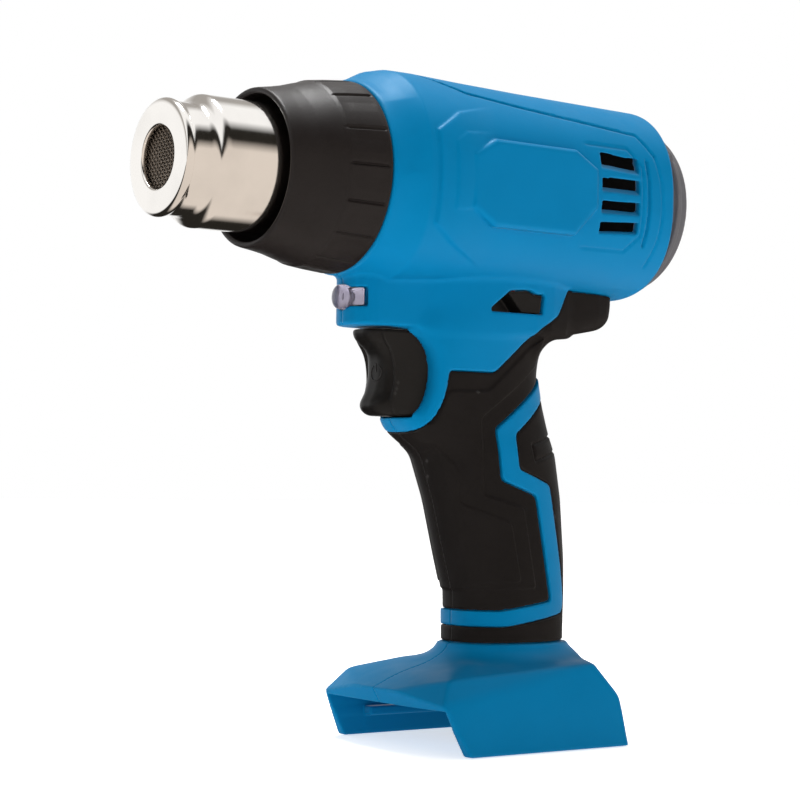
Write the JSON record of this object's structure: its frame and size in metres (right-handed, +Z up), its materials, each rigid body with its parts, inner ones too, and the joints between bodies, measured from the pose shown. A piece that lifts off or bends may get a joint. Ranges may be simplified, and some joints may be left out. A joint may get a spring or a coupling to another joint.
{
  "type": "cordless heat gun",
  "caption": "Pistol-grip cordless heat gun: blue two-half shell, steel nozzle in a black guard collar, soft grips, trigger, LED and a slide-on battery foot.",
  "frame": {"origin": "centre of the overall bounding box, at the bottom of the battery foot", "axes": "+Z up, the nozzle points along -X, +Y is the operator's right-hand side"},
  "size_m": [0.192, 0.0732, 0.2172],
  "materials": {
    "blue_housing": "fine moulded texture, satin blue",
    "grip_rubber": "soft-touch matt black",
    "grey_cover": "satin dark grey",
    "black_guard": "fine spark-textured black",
    "nozzle_steel": "polished plated steel",
    "mesh_wire": "woven wire, heat-dulled",
    "mica": "flaky mica board",
    "heating_wire": "oxidised nichrome",
    "ceramic": "unglazed ceramic",
    "nylon": "natural nylon",
    "zinc_steel": "zinc-plated steel",
    "black_plastic": "satin black",
    "foam": "matt black",
    "trigger_plastic": "satin black, fine texture",
    "circuit_board": "green solder mask",
    "bare_aluminium": "extruded, bare",
    "clear_lens": "clear polycarbonate",
    "red_wire": "PVC insulation",
    "black_wire": "PVC insulation",
    "white_wire": "glass-fibre sleeve",
    "copper": "bare copper alloy"
  },
  "bodies": {
    "housing": {"left_housing": "blue_housing", "right_housing": "blue_housing", "left_side_grip": "grip_rubber", "right_side_grip": "grip_rubber", "left_back_grip": "grip_rubber", "right_back_grip": "grip_rubber", "rear_cover": "grey_cover", "intake_filter": "foam", "nozzle_tube": "nozzle_steel", "outlet_mesh": "mesh_wire", "mica_sleeve": "mica", "mica_cross": "mica", "heating_coil": "heating_wire", "element_mount": "ceramic", "thermal_fuse": "ceramic", "air_duct": "nylon", "motor_can": "zinc_steel", "motor_mount": "nylon", "switch_body": "black_plastic", "trigger_spring": "zinc_steel", "control_board": "circuit_board", "heat_sink": "bare_aluminium", "capacitor": "black_plastic", "terminal_block": "black_plastic", "terminal_blade_1": "copper", "terminal_blade_2": "copper", "terminal_blade_3": "copper", "terminal_blade_4": "copper", "led_lens": "clear_lens", "led": "clear_lens", "led_board": "circuit_board", "battery_wire_red": "red_wire", "battery_wire_black": "black_wire", "motor_wire_red": "red_wire", "motor_wire_black": "black_wire", "heater_wire_live": "white_wire", "heater_wire_return": "white_wire", "led_wire": "white_wire", "housing_screw_1": "zinc_steel", "housing_screw_2": "zinc_steel", "housing_screw_3": "zinc_steel", "housing_screw_4": "zinc_steel", "housing_screw_5": "zinc_steel", "housing_screw_6": "zinc_steel", "housing_screw_7": "zinc_steel", "housing_screw_8": "zinc_steel"},
    "rotor": {"fan_impeller": "black_plastic", "motor_shaft": "zinc_steel"},
    "trigger": {"trigger": "trigger_plastic", "trigger_plunger": "nylon"},
    "lock": {"lock_button": "trigger_plastic"},
    "guard": {"front_guard": "black_guard"}
  },
  "joints": [
    {"name": "trigger_pull", "type": "slide", "parent": "housing", "child": "trigger", "axis": [1, 0, 0], "range_m": [0, 0.006], "stiffness_N_per_m": 800, "springref_m": -0.004, "deforming": ["trigger_spring"]},
    {"name": "lock_slide", "type": "slide", "parent": "housing", "child": "lock", "axis": [0, 1, 0], "range_m": [-0.003, 0.003]},
    {"name": "fan_spin", "type": "hinge", "parent": "housing", "child": "rotor", "pos_m": [0.012, 0, 0.1814], "axis": [1, 0, 0], "continuous": true},
    {"name": "guard_twist", "type": "hinge", "parent": "housing", "child": "guard", "pos_m": [-0.0307, 0, 0.1814], "axis": [1, 0, 0], "range_deg": [0, 30]}
  ]
}
